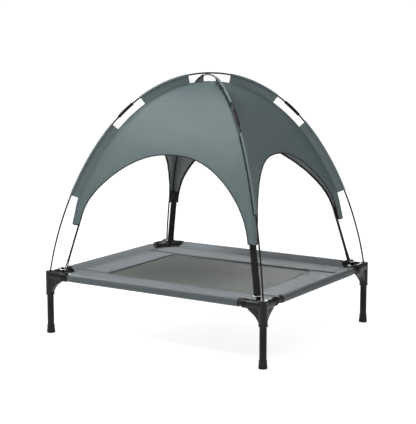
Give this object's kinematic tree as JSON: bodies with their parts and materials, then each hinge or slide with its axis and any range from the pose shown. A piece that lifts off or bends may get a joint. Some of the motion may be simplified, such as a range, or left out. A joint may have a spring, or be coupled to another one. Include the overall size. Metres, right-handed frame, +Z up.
{
  "type": "raised dog bed with canopy",
  "caption": "Raised dog cot: tubular steel frame on push-in legs, tensioned fabric bed with a mesh centre, and a lift-off domed canopy on crossed flexible poles.",
  "frame": {"origin": "on the floor under the middle of the bed, at the centre of the footprint", "axes": "+Z up; +X along the long side, to the right seen from the front; -Y is the front"},
  "size_m": [0.7176, 0.6096, 0.7303],
  "materials": {
    "black_steel": "satin black powder coat",
    "black_plastic": "moulded satin black",
    "foot_rubber": "matt black",
    "bed_fabric": "grey coated woven polyester",
    "mesh_fabric": "grey breathable mesh",
    "canopy_fabric": "grey-green woven polyester",
    "black_webbing": "black woven webbing and binding tape",
    "fibreglass": "dark pultruded fibreglass",
    "ferrule": "black",
    "ring_steel": "plated wire"
  },
  "bodies": {
    "frame": {"corner_bracket_front_left": "black_plastic", "corner_bracket_front_right": "black_plastic", "corner_bracket_rear_right": "black_plastic", "corner_bracket_rear_left": "black_plastic", "long_rail_front": "black_steel", "long_rail_rear": "black_steel", "short_rail_left": "black_steel", "short_rail_right": "black_steel", "bed_side_strip_front": "bed_fabric", "bed_side_strip_rear": "bed_fabric", "bed_end_panel_left": "bed_fabric", "bed_end_panel_right": "bed_fabric", "mesh_insert": "mesh_fabric"},
    "canopy": {"upper_pole_middle": "fibreglass", "upper_pole_front_left": "fibreglass", "upper_pole_rear_right": "fibreglass", "lower_pole_middle": "fibreglass", "lower_pole_rear_left": "fibreglass", "lower_pole_front_right": "fibreglass", "ferrule_front_left": "ferrule", "ferrule_front_right": "ferrule", "ferrule_rear_right": "ferrule", "ferrule_rear_left": "ferrule", "canopy_fin_upper_front_left": "canopy_fabric", "canopy_fin_upper_front_right": "canopy_fabric", "canopy_fin_upper_rear_right": "canopy_fabric", "canopy_fin_upper_rear_left": "canopy_fabric", "canopy_fin_lower_front_left": "canopy_fabric", "canopy_fin_lower_front_right": "canopy_fabric", "canopy_fin_lower_rear_right": "canopy_fabric", "canopy_fin_lower_rear_left": "canopy_fabric", "canopy_panel_front": "canopy_fabric", "canopy_panel_right": "canopy_fabric", "canopy_panel_rear": "canopy_fabric", "canopy_panel_left": "canopy_fabric", "strap_front_left": "black_webbing", "strap_front_right": "black_webbing", "strap_rear_right": "black_webbing", "strap_rear_left": "black_webbing", "strap_ring_front_left": "ring_steel", "strap_ring_front_right": "ring_steel", "strap_ring_rear_right": "ring_steel", "strap_ring_rear_left": "ring_steel"},
    "leg_front_left": {"leg_tube_front_left": "black_steel", "foot_cap_front_left": "foot_rubber"},
    "leg_front_right": {"leg_tube_front_right": "black_steel", "foot_cap_front_right": "foot_rubber"},
    "leg_rear_right": {"leg_tube_rear_right": "black_steel", "foot_cap_rear_right": "foot_rubber"},
    "leg_rear_left": {"leg_tube_rear_left": "black_steel", "foot_cap_rear_left": "foot_rubber"}
  },
  "joints": [
    {"name": "canopy_lift", "type": "slide", "parent": "frame", "child": "canopy", "axis": [0, 0, 1], "range_m": [0, 0.12]},
    {"name": "leg_pull_front_left", "type": "slide", "parent": "frame", "child": "leg_front_left", "axis": [0, 0, -1], "range_m": [0, 0.05]},
    {"name": "leg_pull_front_right", "type": "slide", "parent": "frame", "child": "leg_front_right", "axis": [0, 0, -1], "range_m": [0, 0.05]},
    {"name": "leg_pull_rear_right", "type": "slide", "parent": "frame", "child": "leg_rear_right", "axis": [0, 0, -1], "range_m": [0, 0.05]},
    {"name": "leg_pull_rear_left", "type": "slide", "parent": "frame", "child": "leg_rear_left", "axis": [0, 0, -1], "range_m": [0, 0.05]}
  ]
}
